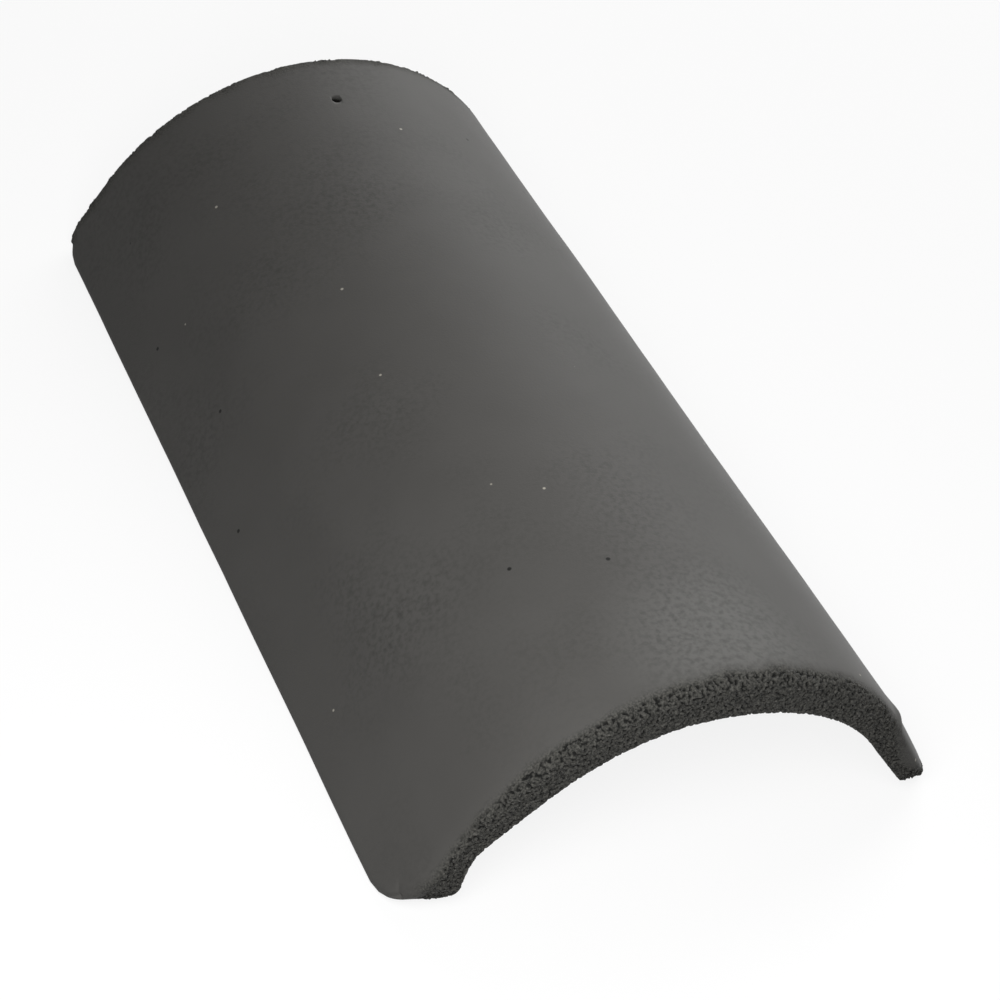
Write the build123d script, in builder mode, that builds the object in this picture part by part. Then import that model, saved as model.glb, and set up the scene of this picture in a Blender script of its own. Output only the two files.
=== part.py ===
from build123d import *

import os
from math import cos, radians, sin, tan

# Tapered ridge tile of concrete: one arched piece that stands on its two feet.
# The length runs along Y with the wide end at -Y and the narrow, nailed end at +Y,
# Z is up, and the origin lies on the ground under the middle of the tile.

# Driving sizes in mm, with the lean of the flanks from the vertical in degrees
length = 450
wide_width = 265
wide_height = 105.5
narrow_width = 248
narrow_height = 94
flank_lean = 31

# Wall: thickest at the crown and thinner towards the feet, so the hollow leans out further
crown_wall = 20
foot_width = 14.5
hollow_lean = 36

# Rounded edges: the smooth coat rolls far over the rim of the wide end
wide_rim_round = 9
foot_edge_round = 2.5
wide_corner_round = 20
narrow_corner_round = 18

# Nail hole through the crown of the narrow end
nail_hole_diameter = 6
nail_hole_setback = 34

# Spare material, in mm below the ground and in degrees of lean, cut away to leave level feet and flat flanks
ground_spare = 10
flank_spare = 0.3


def arch(plane, width, height, lean, spare=0):
    """Face under an arch whose crown arc runs on into flanks that reach the ground at this width.

    The flanks lean out further by the spare degrees, and the face ends a spare depth below the ground.
    """
    angle = radians(lean)
    radius = (width / 2 * cos(angle) - height * sin(angle)) / (1 - sin(angle))
    with BuildSketch(plane) as face:
        with BuildLine():
            crown = CenterArc((0, height - radius), radius, lean + spare, 180 - 2 * (lean + spare))
            shoulder = crown @ 0
            foot = shoulder.X + (shoulder.Y + ground_spare) * tan(radians(lean + spare))
            Polyline(crown @ 1, (-foot, -ground_spare), (foot, -ground_spare), shoulder)
        make_face()
    return face.sketch


def flank_plane(side):
    """Plane of the outer flank on the left (-1) or the right (1), facing outwards."""
    foot = Vector(side * wide_width / 2, -length / 2, 0)
    along = Vector(side * (narrow_width - wide_width) / 2, length, 0)
    rise = Vector(-side * sin(radians(flank_lean)), 0, cos(radians(flank_lean)))
    return Plane(origin=foot, z_dir=side * along.cross(rise))


wide_end = Plane.XZ.offset(length / 2)
narrow_end = Plane.XZ.offset(-length / 2)

with BuildPart() as ridge_tile:
    # Outer body, lofted from the wide end to the narrow end, with its flanks cut flat
    add(arch(wide_end, wide_width, wide_height, flank_lean, flank_spare))
    add(arch(narrow_end, narrow_width, narrow_height, flank_lean, flank_spare))
    loft(ruled=True)
    split(bisect_by=flank_plane(-1), keep=Keep.BOTTOM)
    split(bisect_by=flank_plane(1), keep=Keep.BOTTOM)

    # Rolled rim of the wide end
    wide_rim = ridge_tile.faces().sort_by(Axis.Y)[0].edges().sort_by(Axis.Z)[1:]
    fillet(wide_rim, wide_rim_round)

    # Hollow underneath, open at both ends, and the two level feet
    add(arch(wide_end, wide_width - 2 * foot_width, wide_height - crown_wall, hollow_lean))
    add(arch(narrow_end, narrow_width - 2 * foot_width, narrow_height - crown_wall, hollow_lean))
    loft(ruled=True, mode=Mode.SUBTRACT)
    split(bisect_by=Plane.XY)

    # Softened outer edges of the feet; the narrow end keeps its crisp cut rim
    ground_edges = ridge_tile.edges().group_by(Axis.Z)[0]
    foot_edges = ground_edges.sort_by(Edge.length)[-4:].sort_by(Axis.X)
    fillet([foot_edges[0], foot_edges[-1]], foot_edge_round)

    # Rounded corners of the feet, seen from the side
    with BuildSketch(Plane.YZ) as side:
        Rectangle(length, wide_height, align=(Align.CENTER, Align.MIN))
        fillet(side.vertices().group_by(Axis.Y)[0].sort_by(Axis.X)[0], wide_corner_round)
        fillet(side.vertices().group_by(Axis.Y)[0].sort_by(Axis.X)[-1], narrow_corner_round)
    extrude(amount=wide_width, both=True, mode=Mode.INTERSECT)

    # Nail hole
    with Locations((0, length / 2 - nail_hole_setback, narrow_height)):
        Hole(nail_hole_diameter / 2, depth=2 * crown_wall)

ridge_tile.part.label = "ridge_tile"
os.makedirs("parts", exist_ok=True)
export_step(ridge_tile.part, "parts/ridge_tile.step")
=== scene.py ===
"""Dressed model of a tapered ridge tile of slurry-coated concrete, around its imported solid."""

import logging
import math
from collections.abc import Callable
from dataclasses import dataclass, field
from enum import Enum

import bmesh
import bpy
from mathutils import Matrix, Vector, noise


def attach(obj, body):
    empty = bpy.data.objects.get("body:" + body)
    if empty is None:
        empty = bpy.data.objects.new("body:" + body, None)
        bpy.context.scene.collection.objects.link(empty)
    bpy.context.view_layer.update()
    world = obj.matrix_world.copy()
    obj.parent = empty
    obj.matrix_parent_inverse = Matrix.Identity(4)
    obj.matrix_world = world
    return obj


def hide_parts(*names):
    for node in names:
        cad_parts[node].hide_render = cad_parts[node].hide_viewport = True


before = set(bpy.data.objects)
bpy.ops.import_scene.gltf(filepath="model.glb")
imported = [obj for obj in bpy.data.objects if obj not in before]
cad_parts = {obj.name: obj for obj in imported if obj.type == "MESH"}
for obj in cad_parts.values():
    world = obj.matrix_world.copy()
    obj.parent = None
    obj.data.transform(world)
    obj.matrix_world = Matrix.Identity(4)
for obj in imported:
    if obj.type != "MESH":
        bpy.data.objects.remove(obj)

LOG = logging.getLogger("ridge_tile")
MM = 0.001
# How near a point of the unbent bar lies to one of its faces to be on it
ON_FACE = 1e-4


def linear(code: str) -> tuple[float, float, float, float]:
    """Turns an sRGB hex colour into linear values for a shader.

    Args:
        code: Six hex digits.

    Returns:
        Red, green, blue and an alpha of one.
    """
    channels = [int(code[i : i + 2], 16) / 255 for i in (0, 2, 4)]
    values = [c / 12.92 if c <= 0.04045 else ((c + 0.055) / 1.055) ** 2.4 for c in channels]
    return (values[0], values[1], values[2], 1.0)


def smooth_step(low: float, high: float, value: float) -> float:
    """Rises smoothly from 0 at low to 1 at high."""
    share = min(1.0, max(0.0, (value - low) / (high - low)))
    return share * share * (3 - 2 * share)


def rise(least: float, reach: float, value: float) -> float:
    """Rises smoothly from a least share at 0 to 1 at reach."""
    return least + (1 - least) * smooth_step(0, reach, value)


def waves(spot: Vector, sizes: tuple[tuple[float, float], ...]) -> float:
    """Adds up soft waves at a point in mm, each given by its height and its size in mm."""
    return sum(height * noise.noise(spot / size) for height, size in sizes)


def per_metre(size: float) -> float:
    """Turns the real size of a pattern's spots, in mm, into the scale of a texture in metres."""
    return 1 / (size * MM)


def round_edge(depths: tuple[float, float], radii: tuple[float, float]) -> tuple[float, float]:
    """Bends the corner between two faces into an ellipse.

    Args:
        depths: How far a point lies under each of the two faces, in mm.
        radii: Half axes of the ellipse across each face, in mm.

    Returns:
        The two depths after rounding.
    """
    shares = [1 - depth / radius for depth, radius in zip(depths, radii)]
    if min(shares) <= 0:
        return depths
    pull = max(shares) / math.hypot(*shares)
    return (radii[0] * (1 - shares[0] * pull), radii[1] * (1 - shares[1] * pull))


@dataclass(frozen=True)
class Arch:
    """Outline of an arch, in mm: a crown arc with tangent flanks that reach the ground at a width."""

    width: float
    height: float
    lean: float
    flank_share: float = 0.285

    @property
    def radius(self) -> float:
        """Radius of the crown arc."""
        lean = math.radians(self.lean)
        return (self.width / 2 * math.cos(lean) - self.height * math.sin(lean)) / (1 - math.sin(lean))

    def point(self, place: float) -> Vector:
        """Finds a point of the outline.

        Args:
            place: From -1 at the left foot through 0 at the crown to 1 at the right foot.

        Returns:
            The point, with X across and Z up.
        """
        lean = math.radians(self.lean)
        side = math.copysign(1.0, place)
        reach = abs(place) / (1 - self.flank_share)
        swing = min(reach, 1.0) * (math.pi / 2 - lean)
        arc = Vector((math.sin(swing) * self.radius, 0, self.height - self.radius * (1 - math.cos(swing))))
        if reach <= 1:
            return Vector((side * arc.x, 0, arc.z))
        foot = Vector((self.width / 2, 0, 0))
        spot = arc.lerp(foot, (abs(place) - 1 + self.flank_share) / self.flank_share)
        return Vector((side * spot.x, 0, spot.z))


@dataclass(frozen=True)
class Swell:
    """Smooth local change of a size, in mm, around a place across and along the tile."""

    place: float
    along: float
    height: float
    half_girth: float = 0.07
    half_length: float = 45.0

    def at(self, place: float, along: float) -> float:
        """Gives the change in mm at a place across and along the tile."""
        away = (place - self.place) / self.half_girth, (along - self.along) / self.half_length
        return self.height * math.exp(-(math.hypot(*away) ** 2))


@dataclass(frozen=True)
class TileForm:
    """Real sizes of the tile in mm, and the way from an unbent bar to the arched body."""

    length: float = 450.0
    wide: tuple[Arch, Arch] = (Arch(265, 105.5, 31), Arch(236, 85.5, 36))
    narrow: tuple[Arch, Arch] = (Arch(248, 94, 31), Arch(219, 74, 36))
    girth: float = 180.0
    wide_rim: tuple[float, float] = (13.3, 5.2)
    narrow_rim: tuple[float, float] = (0.6, 0.6)
    inner_rim: tuple[float, float] = (0.8, 0.8)
    foot_outside: tuple[float, float] = (4.4, 4.4)
    foot_inside: tuple[float, float] = (1.6, 1.6)
    left_wide_corner: tuple[float, float] = (18.0, 26.0)
    right_wide_corner: tuple[float, float] = (20.0, 20.0)
    narrow_corner: float = 18.0
    # 1 / cos(31 degrees): a corner is round seen from the side, so it reaches further up the leaning flank
    corner_stretch: float = 1.167
    # Uneven thickness of the wide end, on the inside
    swells: tuple[Swell, ...] = (
        Swell(-0.94, 0, 8.0, 0.09),
        Swell(-0.76, 0, -2.5),
        Swell(-0.5, 0, 1.5, 0.2),
        Swell(0.15, 0, 0.8, 0.25),
    )
    # Slurry that set in a lip on the outside of the wide rim
    lips: tuple[Swell, ...] = (Swell(0.69, 8, 1.2, 0.022, 6.0),)

    def wall(self, place: float, along: float) -> tuple[Vector, Vector]:
        """Gives the outer and the inner point of the wall at a place across and along the tile."""
        share = along / self.length
        outer = self.wide[0].point(place).lerp(self.narrow[0].point(place), share)
        inner = self.wide[1].point(place).lerp(self.narrow[1].point(place), share)
        inward = (inner - outer).normalized()
        outer = outer - inward * sum(lip.at(place, along) for lip in self.lips)
        return outer, inner + inward * sum(swell.at(place, along) for swell in self.swells)

    def bend(self, bar: Vector) -> Vector:
        """Carries a point of the unbent bar to its place on the tile.

        Args:
            bar: X from -1 to 1 across the arch, Y in mm from the wide end, Z from 0 inside to 1 outside.

        Returns:
            The point in mm, in the tile's own frame.
        """
        outer, inner = self.wall(bar.x, bar.y)
        thick = (outer - inner).length
        wide, narrow = bar.y, self.length - bar.y
        side, out = (1 - abs(bar.x)) * self.girth, (1 - bar.z) * thick
        wide, out = round_edge((wide, out), self.wide_rim)
        narrow, out = round_edge((narrow, out), self.narrow_rim)
        side, out = round_edge((side, out), self.foot_outside)
        wide, under = round_edge((wide, thick - out), self.inner_rim)
        narrow, under = round_edge((narrow, under), self.inner_rim)
        side, under = round_edge((side, under), self.foot_inside)
        inside, outside = self.left_wide_corner if bar.x < 0 else self.right_wide_corner
        corner = inside + (outside - inside) * under / thick
        wide, side = round_edge((wide, side), (corner, corner * self.corner_stretch))
        corner = self.narrow_corner
        narrow, side = round_edge((narrow, side), (corner, corner * self.corner_stretch))
        along = wide if bar.y < self.length / 2 else self.length - narrow
        place = math.copysign(1 - side / self.girth, bar.x)
        outer, inner = self.wall(place, along)
        spot = inner.lerp(outer, under / thick)
        return Vector((spot.x, along - self.length / 2, spot.z))


@dataclass(frozen=True)
class ConcreteGrain:
    """Relief of raw concrete in mm: grains of sand stand proud and air voids are left between them."""

    grit_size: float = 2.4
    grit_height: float = 0.6
    # Radius of a grain against the grit size: the least, and how much more the largest has
    grit_radius: tuple[float, float] = (0.4, 0.35)
    crumb_size: float = 1.1
    crumb_height: float = 0.5
    # Fall, step and number of the finer layers of crumbs
    crumb_layers: tuple[float, float, int] = (0.8, 2.0, 3)
    void_size: float = 1.3
    void_depth: float = 1.15
    # Level of the noise where a void opens, and the steepness and roundness of its wall
    void_level: float = 0.08
    void_wall: tuple[float, float] = (3.0, 0.7)
    # Moves the voids away from the crumbs, which come from the same noise
    void_shift: tuple[float, float, float] = (31.0, 17.0, 5.0)
    # Spreads the grains' centres, so that each grain has a size of its own
    grit_spread: float = 7.3
    wave_size: float = 17.0
    wave_height: float = 0.5

    def grit(self, spot: Vector) -> float:
        """Height of the rounded grains at a point in mm."""
        near, cells = noise.voronoi(spot / self.grit_size)
        size = self.grit_radius[0] + self.grit_radius[1] * noise.cell(cells[0] * self.grit_spread)
        return self.grit_height * max(0.0, 1 - (near[0] / size) ** 2)

    def voids(self, spot: Vector) -> float:
        """Depth of the air voids at a point in mm."""
        level = noise.noise(spot / self.void_size + Vector(self.void_shift)) - self.void_level
        steepness, roundness = self.void_wall
        return self.void_depth * min(1.0, max(0.0, level * steepness)) ** roundness

    def height(self, spot: Vector) -> tuple[float, float]:
        """Measures raw concrete at a point in mm.

        Args:
            spot: The point, in mm.

        Returns:
            The height above the mean face, and how deep the point lies in a void, both in mm.
        """
        crumbs = noise.fractal(spot / self.crumb_size, *self.crumb_layers) * self.crumb_height
        wave = noise.noise(spot / self.wave_size) * self.wave_height
        depth = self.voids(spot)
        return self.grit(spot) + crumbs + wave - depth, depth


class Side(Enum):
    """The faces of the tile, by how they were made."""

    SKIN = "slurry coat"
    WIDE_CUT = "cut face of the wide end"
    NARROW_CUT = "cut face of the narrow end"
    MOULD = "face that lay on the mould"
    FOOT = "level foot"


@dataclass(frozen=True)
class CoatEdge:
    """Where the slurry coat ends on the cut faces, in mm, and the share of raw relief that shows there.

    The slurry runs a little way over each cut, so its edge wanders and it thins out before it stops.
    The thinning darkens the coat towards bare concrete over a band widened to also paint the shade where
    the rounded rim turns away from the lamps.
    """

    wide_reach: float = 9.0
    # How much further the coat runs at the feet, and where it runs more or less than that
    wide_spread: float = 13.0
    wide_runs: tuple[Swell, ...] = (Swell(0.8, 0, 7.0, 0.15), Swell(1.0, 0, -20.0, 0.08))
    narrow_reach: float = 0.8
    # Height and size of each wave of the wandering edge
    wander: tuple[tuple[float, float], ...] = ((2.4, 14.0), (1.4, 4.0), (0.8, 1.5))
    # Width of the band where the coat darkens: real thinning, widened with painted shade of the rolled rim
    thin_coat_and_painted_shade: float = 7.0
    end: float = 1.5
    # Depths under the outer face between which the coat ends on the level feet
    foot_end: tuple[float, float] = (5.0, 8.0)
    # Share of the relief on the face that lay on the mould, at the inner edge and at the feet
    mould_relief: float = 0.25
    inner_relief: float = 0.3
    foot_relief: float = 0.1
    # How far from the inner edge and from the feet the relief is lower
    inner_zone: float = 2.5
    wide_foot_zone: float = 6.0
    narrow_foot_zone: float = 24.0


@dataclass
class TileBody:
    """The one-piece tile as a closed mesh with its relief. Its sizes are in mm."""

    form: TileForm = field(default_factory=TileForm)
    grain: ConcreteGrain = field(default_factory=ConcreteGrain)
    coat: CoatEdge = field(default_factory=CoatEdge)
    # Mesh faces across, along and through the bar, and the power that crowds them towards both ends
    across: int = 230
    along: int = 44
    through: int = 12
    crowding: float = 1.5
    # Distances from the ends and from the hole within which the faces are split, once and once more
    end_zones: tuple[float, float] = (13.0, 10.0)
    hole_zones: tuple[float, float] = (9.0, 5.5)
    # The mouth of the 6 mm nail hole, narrower by the slurry that ran into it
    hole_diameter: float = 5.2
    hole_setback: float = 34.0
    # Rows of points down the wall of the hole
    hole_rows: int = 8
    # Mean thickness, by which the depth under the outer face is measured
    wall: float = 18.0
    # Height and size of the slow waves that a cast surface has
    sway: tuple[tuple[float, float], ...] = ((0.35, 70.0), (0.12, 22.0))
    least_relief: float = 0.01

    def bar(self) -> bmesh.types.BMesh:
        """Makes the unbent bar: a cube cut into a grid, finer towards both ends.

        Returns:
            A mesh in bar coordinates, as TileForm.bend takes them.
        """
        bm = bmesh.new()
        bmesh.ops.create_cube(bm, size=2)
        for axis, cuts in enumerate((self.across, self.along, self.through)):
            edges = [e for e in bm.edges if abs((e.verts[1].co - e.verts[0].co)[axis]) > 1]
            bmesh.ops.subdivide_edges(bm, edges=edges, cuts=cuts - 1, use_grid_fill=True)
        half = self.form.length / 2
        for vert in bm.verts:
            reach = math.copysign(1 - (1 - abs(vert.co.y)) ** self.crowding, vert.co.y)
            vert.co = Vector((vert.co.x, half + half * reach, (vert.co.z + 1) / 2))
        return bm

    def refine(self, bm: bmesh.types.BMesh, wanted: Callable[[Vector], bool]) -> None:
        """Splits the faces whose centre is wanted into four."""
        faces = [f for f in bm.faces if wanted(f.calc_center_median())]
        edges = list({e for f in faces for e in f.edges})
        bmesh.ops.subdivide_edges(bm, edges=edges, cuts=1, use_grid_fill=True)

    def near_hole(self, spot: Vector, reach: float) -> bool:
        """Tells whether a point of the bar lies within a reach of the nail hole, in mm."""
        across = spot.x * self.form.girth
        along = spot.y - self.form.length + self.hole_setback
        return math.hypot(across, along) < reach

    def near_end(self, spot: Vector, reach: float) -> bool:
        """Tells whether a point of the bar lies within a reach of either end, in mm."""
        return min(spot.y, self.form.length - spot.y) < reach

    def on_wide_end(self, spot: Vector, reach: float) -> bool:
        """Tells whether a point off the mould's face lies within a reach of the wide end, in mm."""
        return spot.y < reach and spot.z > ON_FACE

    def side(self, bar: Vector) -> Side:
        """Names the face that a point of the bar's surface lies on."""
        if bar.y < ON_FACE:
            return Side.WIDE_CUT
        if bar.y > self.form.length - ON_FACE:
            return Side.NARROW_CUT
        if bar.z > 1 - ON_FACE:
            return Side.SKIN
        if bar.z < ON_FACE:
            return Side.MOULD
        return Side.FOOT

    def finish(self, bar: Vector) -> tuple[float, float]:
        """Tells what the surface is like at a point of the bar.

        Args:
            bar: The point, in bar coordinates.

        Returns:
            How bare the concrete is, from 0 under a whole coat to 1, and how much of its relief shows.
        """
        coat = self.coat
        side = self.side(bar)
        under = (1 - bar.z) * self.wall
        if side is Side.MOULD:
            return 1.0, coat.mould_relief
        if side is Side.FOOT:
            return smooth_step(*coat.foot_end, under), 0.0
        if bar.y < self.form.length / 2:
            travel = self.form.wide_rim[0] - bar.y + under
            limit = coat.wide_reach + coat.wide_spread * bar.x**2
            limit += sum(run.at(bar.x, 0) for run in coat.wide_runs)
            foot_zone = coat.wide_foot_zone
        else:
            travel = self.form.narrow_rim[0] - (self.form.length - bar.y) + under
            limit = coat.narrow_reach
            foot_zone = coat.narrow_foot_zone
        travel += waves(Vector((bar.x * self.form.girth, bar.y, under)), coat.wander)
        # Darkening of the coat before the cut: thinning slurry, and painted shade of the rolled rim
        bare = smooth_step(limit - coat.thin_coat_and_painted_shade, limit + coat.end, travel)
        rough = smooth_step(limit - coat.end, limit + coat.end, travel)
        calm = rise(coat.inner_relief, coat.inner_zone, self.wall - under)
        calm *= rise(coat.foot_relief, foot_zone, (1 - abs(bar.x)) * self.form.girth)
        return bare, rough * calm

    def cut_hole(self, bm: bmesh.types.BMesh) -> set[bmesh.types.BMVert]:
        """Opens the nail hole through the crown of the bent body and lines it with a wall.

        Returns:
            The points of the hole's wall, which are later given painted shade.
        """
        radius = self.hole_diameter / 2
        centre = Vector((0, self.form.length / 2 - self.hole_setback, 0))

        def off_axis(spot: Vector) -> Vector:
            return Vector((spot.x - centre.x, spot.y - centre.y, 0))

        inside = [f for f in bm.faces if off_axis(f.calc_center_median()).length < radius]
        bmesh.ops.delete(bm, geom=inside, context="FACES")
        rim = [e for e in bm.edges if e.is_boundary]
        for vert in {v for e in rim for v in e.verts}:
            away = off_axis(vert.co)
            vert.co += away.normalized() * (radius - away.length)
        made = bmesh.ops.bridge_loops(bm, edges=rim)
        spokes = [e for e in made["edges"] if e not in rim]
        cut = bmesh.ops.subdivide_edges(bm, edges=spokes, cuts=self.hole_rows, use_grid_fill=True)
        lining = {v for v in cut["geom_inner"] if isinstance(v, bmesh.types.BMVert)}
        bmesh.ops.triangulate(bm, faces=list({f for v in lining for f in v.link_faces}))
        return lining

    def relief(self, spot: Vector, share: float) -> tuple[float, float]:
        """Measures the surface against the plain form.

        Args:
            spot: A point of the plain form, in mm.
            share: How much of the relief of raw concrete shows there.

        Returns:
            The height above the plain form and the depth within a void, both in mm.
        """
        sway = waves(spot, self.sway)
        if share < self.least_relief:
            return sway, 0.0
        height, depth = self.grain.height(spot)
        return sway + share * height, share * depth

    def build(self, material: bpy.types.Material) -> bpy.types.Object:
        """Builds the finished tile.

        Args:
            material: The finish of the whole tile.

        Returns:
            The object, with its place in its mesh.
        """
        bm = self.bar()
        ends, holes = self.end_zones, self.hole_zones
        self.refine(bm, lambda c: self.near_end(c, ends[0]) or self.near_hole(c, holes[0]))
        self.refine(bm, lambda c: self.on_wide_end(c, ends[1]) or self.near_hole(c, holes[1]))
        layers = bm.verts.layers.float
        bare, share, depth = layers.new("bare"), layers.new("relief"), layers.new("void_depth")
        for vert in bm.verts:
            vert[bare], vert[share] = self.finish(vert.co)
            vert.co = self.form.bend(vert.co)
        hole = self.cut_hole(bm)
        bmesh.ops.recalc_face_normals(bm, faces=bm.faces[:])
        bm.normal_update()
        # Each void's depth is kept for the material, which turns it into painted shade
        for vert in bm.verts:
            height, vert[depth] = self.relief(vert.co, vert[share])
            vert.co += vert.normal * height
        # Painted shade: the hole's wall is coloured as bare concrete at the full depth of a void, near black
        for vert in hole:
            vert[bare], vert[depth] = 1.0, 1.0
        for vert in bm.verts:
            vert.co.z = max(vert.co.z, 0.0)
        bmesh.ops.scale(bm, vec=Vector((MM, MM, MM)), verts=bm.verts[:])
        for face in bm.faces:
            face.smooth = True
        mesh = bpy.data.meshes.new("tile_body")
        bm.to_mesh(mesh)
        bm.free()
        mesh.materials.append(material)
        tile = bpy.data.objects.new("tile_body", mesh)
        bpy.context.scene.collection.objects.link(tile)
        return tile


class NodeTree:
    """Adds nodes to a material or world, one call for each node."""

    def __init__(self, tree: bpy.types.NodeTree) -> None:
        """Starts from an empty tree."""
        self.tree = tree
        tree.nodes.clear()

    def add(self, kind: str, links: dict | None = None, **settings: object) -> bpy.types.Node:
        """Adds one node with its settings and links.

        Args:
            kind: The node's type name.
            links: Input names or numbers, each with a value or an output socket.
            settings: Attributes of the node.

        Returns:
            The new node.
        """
        node = self.tree.nodes.new(kind)
        for name, value in settings.items():
            setattr(node, name, value)
        for key, value in (links or {}).items():
            if isinstance(value, bpy.types.NodeSocket):
                self.tree.links.new(value, node.inputs[key])
            else:
                node.inputs[key].default_value = value
        return node


@dataclass(frozen=True)
class SlurryCoatedConcrete:
    """Dense concrete cast on a mould, coated with dyed cement slurry while fresh and cut at both ends.

    The coat is laid on thin and closes the pores, so to the eye it is a smooth dark skin, nearly matt,
    with soft clouds in it. The cuts are bare and quite matt: pale sand shows in dark cement, and voids
    get a painted shade that makes them look black.
    """

    # Slurry of cement and iron oxide black, which never mixes quite evenly: soft clouds of this size in mm
    coat_dark: str = "474644"
    coat_light: str = "52514F"
    cloud_size: float = 55.56
    # Raw concrete of a cut: dark cement with sand of nearly 1 mm, and a painted shade of voids, ramped in
    # between these depths in mm
    bare_dark: str = "2F2F2D"
    bare_light: str = "565551"
    sand_size: float = 0.9091
    void_painted_shade: str = "1E1E1D"
    painted_shade_depths: tuple[float, float] = (0.05, 0.9)
    # A pale patch on the crown near the wide end, palest at its core, in metres
    pale_patch_colour: str = "6E6E6C"
    pale_patch_place: tuple[float, float, float] = (0.012, -0.2, 0.1)
    pale_patch_reach: float = 0.06
    pale_patch_core: float = 0.01
    pale_patch_strength: float = 0.3
    # Dark speckle of 2 to 3 mm where the coat is thin, in patches as wide as a hand. Sizes are in mm
    patch_size: float = 71.43
    fleck_size: float = 2.381
    fleck_strength: float = 0.5
    # Spacing and radius in mm of the pits that air left in the coat, painted as dark spots of shade without
    # any relief, and of pale sand grains on top of it
    painted_pit_shade: tuple[float, float] = (31.0, 1.2)
    grains: tuple[float, float] = (24.0, 0.9)
    grit_shade: str = "A09C92"
    speck_core: float = 0.6
    # Fine sand of 1 mm that shows a little through the coat and whole on the cuts. Sizes are in mm
    texture_size: float = 1.0
    texture_depth: float = 0.8
    coat_texture: float = 0.1
    # A closed cement skin is less rough than a cut, but hardly shines. Dust makes it paler seen aslant
    coat_roughness: float = 0.55
    bare_roughness: float = 0.95
    gloss: float = 0.08
    dust: float = 0.1
    dust_spread: float = 0.35

    def specks(
        self, nodes: NodeTree, place: bpy.types.NodeSocket, spots: tuple[float, float]
    ) -> bpy.types.NodeSocket:
        """Scatters small spots over the coat.

        Args:
            nodes: The material's nodes.
            place: Object coordinates in metres.
            spots: Rough distance between the centres, and radius of a whole spot, in mm.

        Returns:
            A socket that is 1 within a spot.
        """
        spacing, radius = spots
        cells = nodes.add("ShaderNodeTexVoronoi", {"Vector": place, "Scale": per_metre(spacing)})
        limit = radius / spacing
        return nodes.add(
            "ShaderNodeMapRange",
            {"Value": cells.outputs["Distance"], "From Min": limit, "From Max": limit * self.speck_core},
        ).outputs[0]

    def weathered(
        self, nodes: NodeTree, place: bpy.types.NodeSocket, coat: bpy.types.NodeSocket
    ) -> bpy.types.NodeSocket:
        """Adds a pale patch near the wide end, fine speckle, painted shade in small pits and pale sand grains
        to the coat.

        Args:
            nodes: The material's nodes.
            place: Object coordinates in metres.
            coat: Colour of the plain coat.

        Returns:
            The coat's colour.
        """
        # A pale patch on the crown near the wide end, which also strengthens the speckle there
        away = nodes.add("ShaderNodeVectorMath", {0: place, 1: self.pale_patch_place}, operation="DISTANCE")
        near = nodes.add(
            "ShaderNodeMapRange",
            {
                "Value": away.outputs["Value"],
                "From Min": self.pale_patch_reach,
                "From Max": self.pale_patch_core,
                "To Max": self.pale_patch_strength,
            },
            interpolation_type="SMOOTHSTEP",
        ).outputs[0]
        coat = nodes.add(
            "ShaderNodeMix", {"Factor": near, "A": coat, "B": linear(self.pale_patch_colour)}, data_type="RGBA"
        ).outputs["Result"]
        patch = nodes.add(
            "ShaderNodeTexNoise", {"Vector": place, "Scale": per_metre(self.patch_size), "Detail": 2.0}
        ).outputs[0]
        patch = nodes.add("ShaderNodeMath", {0: patch, 1: near}, operation="ADD").outputs[0]
        patch = nodes.add(
            "ShaderNodeMapRange", {"Value": patch, "From Min": 0.42, "From Max": 0.75}
        ).outputs[0]
        fleck = nodes.add(
            "ShaderNodeTexNoise", {"Vector": place, "Scale": per_metre(self.fleck_size), "Detail": 5.0}
        ).outputs[0]
        fleck = nodes.add(
            "ShaderNodeMapRange", {"Value": fleck, "From Min": 0.42, "From Max": 0.72}
        ).outputs[0]
        fleck = nodes.add("ShaderNodeMath", {0: fleck, 1: patch}, operation="MULTIPLY").outputs[0]
        fleck = nodes.add(
            "ShaderNodeMath", {0: fleck, 1: self.fleck_strength}, operation="MULTIPLY"
        ).outputs[0]
        coat = nodes.add(
            "ShaderNodeMix", {"Factor": fleck, "A": coat, "B": linear(self.bare_dark)}, data_type="RGBA"
        ).outputs["Result"]
        # Painted shade: dark spots in the coat stand for the shade inside small air pits
        painted_pit_shade = self.specks(nodes, place, self.painted_pit_shade)
        coat = nodes.add(
            "ShaderNodeMix", {"Factor": painted_pit_shade, "A": coat, "B": linear(self.void_painted_shade)}, data_type="RGBA"
        ).outputs["Result"]
        grains = self.specks(nodes, place, self.grains)
        return nodes.add(
            "ShaderNodeMix", {"Factor": grains, "A": coat, "B": linear(self.grit_shade)}, data_type="RGBA"
        ).outputs["Result"]

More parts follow.
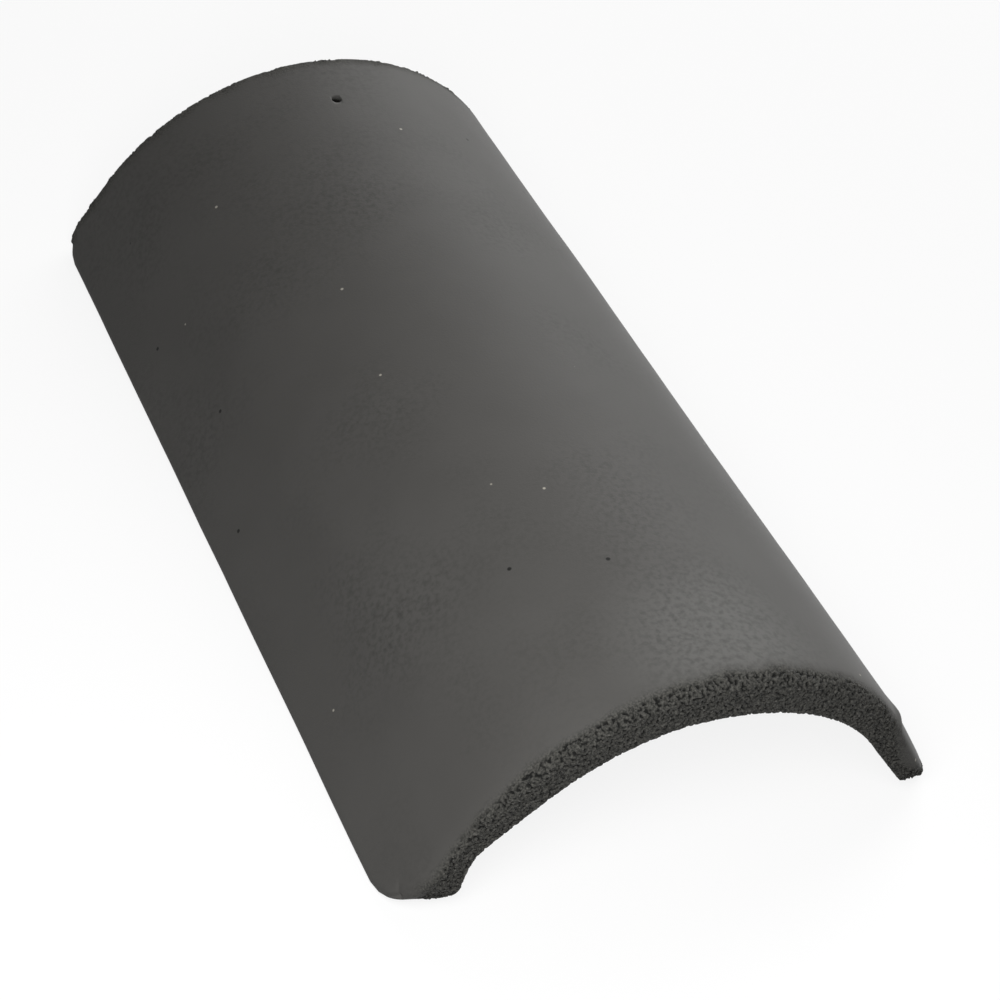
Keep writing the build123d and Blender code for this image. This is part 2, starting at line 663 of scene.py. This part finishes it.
    def build(self) -> bpy.types.Material:
        """Makes the material of the whole tile."""
        material = bpy.data.materials.new("slurry_coated_concrete")
        material.use_nodes = True
        nodes = NodeTree(material.node_tree)
        place = nodes.add("ShaderNodeTexCoord").outputs["Object"]
        raw = nodes.add("ShaderNodeAttribute", attribute_name="bare").outputs["Fac"]
        metres = nodes.add("ShaderNodeMapping", {"Vector": place}).outputs[0]
        clouds = nodes.add(
            "ShaderNodeTexNoise", {"Vector": metres, "Scale": per_metre(self.cloud_size), "Detail": 4.0}
        )
        coat = nodes.add(
            "ShaderNodeMix",
            {"Factor": clouds.outputs[0], "A": linear(self.coat_dark), "B": linear(self.coat_light)},
            data_type="RGBA",
        )
        coat = self.weathered(nodes, metres, coat.outputs["Result"])
        sand = nodes.add(
            "ShaderNodeTexNoise", {"Vector": metres, "Scale": per_metre(self.sand_size), "Detail": 3.0}
        ).outputs[0]
        sand = nodes.add(
            "ShaderNodeMapRange", {"Value": sand, "From Min": 0.36, "From Max": 0.66}
        ).outputs[0]
        bare = nodes.add(
            "ShaderNodeMix",
            {"Factor": sand, "A": linear(self.bare_dark), "B": linear(self.bare_light)},
            data_type="RGBA",
        )
        # Painted shade in the voids of the cuts and in the nail hole: the deeper, the nearer to black
        depth = nodes.add("ShaderNodeAttribute", attribute_name="void_depth").outputs["Fac"]
        painted_shade = nodes.add(
            "ShaderNodeMapRange",
            {"Value": depth, "From Min": self.painted_shade_depths[0], "From Max": self.painted_shade_depths[1]},
        ).outputs[0]
        bare = nodes.add(
            "ShaderNodeMix",
            {"Factor": painted_shade, "A": bare.outputs["Result"], "B": linear(self.void_painted_shade)},
            data_type="RGBA",
        )
        colour = nodes.add(
            "ShaderNodeMix", {"Factor": raw, "A": coat, "B": bare.outputs["Result"]}, data_type="RGBA"
        )
        rough = nodes.add(
            "ShaderNodeMapRange",
            {"Value": raw, "To Min": self.coat_roughness, "To Max": self.bare_roughness},
        )
        fine = nodes.add(
            "ShaderNodeTexNoise", {"Vector": metres, "Scale": per_metre(self.texture_size), "Detail": 4.0}
        ).outputs[0]
        shown = nodes.add(
            "ShaderNodeMapRange", {"Value": raw, "To Min": self.coat_texture, "To Max": 1.0}
        ).outputs[0]
        bump = nodes.add(
            "ShaderNodeBump", {"Height": fine, "Distance": self.texture_depth * MM, "Strength": shown}
        )
        shader = nodes.add(
            "ShaderNodeBsdfPrincipled",
            {
                "Base Color": colour.outputs["Result"],
                "Roughness": rough.outputs[0],
                "Normal": bump.outputs[0],
                "Specular IOR Level": self.gloss,
                "Sheen Weight": self.dust,
                "Sheen Roughness": self.dust_spread,
            },
        )
        nodes.add("ShaderNodeOutputMaterial", {"Surface": shader.outputs[0]})
        return material


@dataclass(frozen=True)
class SoftLamp:
    """A square soft box, in metres and watts."""

    name: str
    place: tuple[float, float, float]
    size: float
    power: float
    aim: tuple[float, float, float] = (0.0, 0.0, 0.05)

    def build(self) -> bpy.types.Object:
        """Hangs the lamp and turns it to its aim."""
        data = bpy.data.lights.new(self.name, "AREA")
        data.shape = "SQUARE"
        data.size = self.size
        data.energy = self.power
        lamp = bpy.data.objects.new(self.name, data)
        lamp.location = self.place
        lamp.rotation_euler = (Vector(self.aim) - lamp.location).to_track_quat("-Z", "Y").to_euler()
        bpy.context.scene.collection.objects.link(lamp)
        return lamp


@dataclass(frozen=True)
class Studio:
    """Plain pale floor, soft lamps, white surroundings and the camera of the photograph.

    Angles are in degrees and lengths in metres, but for those that say pixels and the sensor, which is in mm.
    """

    yaw: float = -31.76
    pitch: float = 42.60
    roll: float = 11.43
    distance: float = 1.4071
    focal_pixels: float = 3066.0
    aim_pixel: tuple[float, float] = (479.30, 422.80)
    image_pixels: float = 1000.0
    sensor: float = 36.0
    aim: tuple[float, float, float] = (0.0, 0.0, 0.05)
    sight: float = 50.0
    floor_size: float = 14.0
    # Keeps the floor clear of the feet, which stand on zero
    floor_gap: float = 0.0002
    # Grey that the floor throws back onto the tile, and the white that is seen with a share of the shadow
    floor_light: str = "808080"
    floor_shown: str = "F6F6F6"
    shadow_share: float = 0.15
    # Even light from all round
    fill: float = 0.02
    lamps: tuple[SoftLamp, ...] = (
        SoftLamp("key_lamp", (1.9, 1.5, 1.1), 2.0, 35.0),
        SoftLamp("top_lamp", (1.3, 1.6, 1.7), 2.0, 32.0),
        SoftLamp("side_lamp", (-0.3, -0.5, 0.55), 0.4, 5.5, (0.0, -0.22, 0.05)),
    )

    def camera(self) -> bpy.types.Object:
        """Sets the camera where the photograph was taken from."""
        yaw, pitch, roll = (math.radians(a) for a in (self.yaw, self.pitch, self.roll))
        back = Vector((math.sin(yaw) * math.cos(pitch), -math.cos(yaw) * math.cos(pitch), math.sin(pitch)))
        level = Vector((0, 0, 1)).cross(back).normalized()
        above = back.cross(level)
        right = math.cos(roll) * level + math.sin(roll) * above
        up = back.cross(right)
        half = self.image_pixels / 2
        scale = self.distance / self.focal_pixels
        aside = Vector(((self.aim_pixel[0] - half) * scale, (self.aim_pixel[1] - half) * scale, 0))
        place = Vector(self.aim) + back * self.distance - right * aside.x + up * aside.y
        data = bpy.data.cameras.new("photo_camera")
        data.sensor_width = self.sensor
        data.lens = self.focal_pixels / self.image_pixels * self.sensor
        data.clip_end = self.sight
        camera = bpy.data.objects.new("photo_camera", data)
        turn = Matrix((right, up, back)).transposed().to_4x4()
        camera.matrix_world = Matrix.Translation(place) @ turn
        bpy.context.scene.collection.objects.link(camera)
        bpy.context.scene.camera = camera
        return camera

    def seen(self, nodes: NodeTree) -> bpy.types.NodeSocket:
        """Gives a socket that is 1 for rays that show a surface to the eye, directly or in a gloss."""
        path = nodes.add("ShaderNodeLightPath").outputs
        first = nodes.add(
            "ShaderNodeMath", {0: path["Is Camera Ray"], 1: path["Is Glossy Ray"]}, operation="MAXIMUM"
        )
        both = nodes.add(
            "ShaderNodeMath", {0: first.outputs[0], 1: path["Is Transmission Ray"]}, operation="MAXIMUM"
        )
        return both.outputs[0]

    def floor(self) -> bpy.types.Object:
        """Lays a plain pale floor that keeps the shadow of the tile."""
        material = bpy.data.materials.new("pale_floor")
        material.use_nodes = True
        nodes = NodeTree(material.node_tree)
        plain = nodes.add("ShaderNodeBsdfDiffuse", {"Color": linear(self.floor_light)})
        bright = nodes.add("ShaderNodeBsdfDiffuse", {"Color": linear(self.floor_shown)})
        white = nodes.add("ShaderNodeEmission", {"Color": (1, 1, 1, 1), "Strength": 1.0})
        shown = nodes.add(
            "ShaderNodeMixShader", {0: self.shadow_share, 1: white.outputs[0], 2: bright.outputs[0]}
        )
        mixed = nodes.add(
            "ShaderNodeMixShader", {0: self.seen(nodes), 1: plain.outputs[0], 2: shown.outputs[0]}
        )
        nodes.add("ShaderNodeOutputMaterial", {"Surface": mixed.outputs[0]})
        bm = bmesh.new()
        bmesh.ops.create_grid(bm, x_segments=1, y_segments=1, size=self.floor_size / 2)
        mesh = bpy.data.meshes.new("floor")
        bm.to_mesh(mesh)
        bm.free()
        mesh.materials.append(material)
        floor = bpy.data.objects.new("floor", mesh)
        floor.location.z = -self.floor_gap
        bpy.context.scene.collection.objects.link(floor)
        return floor

    def world(self) -> None:
        """Sets even grey light from all round, and white where the surroundings are seen."""
        world = bpy.data.worlds.new("studio_world")
        world.use_nodes = True
        bpy.context.scene.world = world
        nodes = NodeTree(world.node_tree)
        fill = nodes.add("ShaderNodeBackground", {"Color": (1, 1, 1, 1), "Strength": self.fill})
        white = nodes.add("ShaderNodeBackground", {"Color": (1, 1, 1, 1), "Strength": 1.0})
        mixed = nodes.add(
            "ShaderNodeMixShader", {0: self.seen(nodes), 1: fill.outputs[0], 2: white.outputs[0]}
        )
        nodes.add("ShaderNodeOutputWorld", {"Surface": mixed.outputs[0]})

    def build(self) -> None:
        """Sets up the whole studio."""
        bpy.context.scene.view_settings.view_transform = "Standard"
        self.camera()
        self.floor()
        self.world()
        for lamp in self.lamps:
            lamp.build()


def main() -> None:
    """Builds the tile and the studio, and reports the piece."""
    logging.basicConfig(level=logging.INFO)
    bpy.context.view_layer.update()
    material = SlurryCoatedConcrete().build()
    tile = TileBody().build(material)
    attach(tile, "root")
    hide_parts("ridge_tile")
    triangles = sum(len(p.vertices) - 2 for p in tile.data.polygons)
    LOG.info("%s: %d triangles", tile.name, triangles)
    Studio().build()


if __name__ == "__main__":
    main()
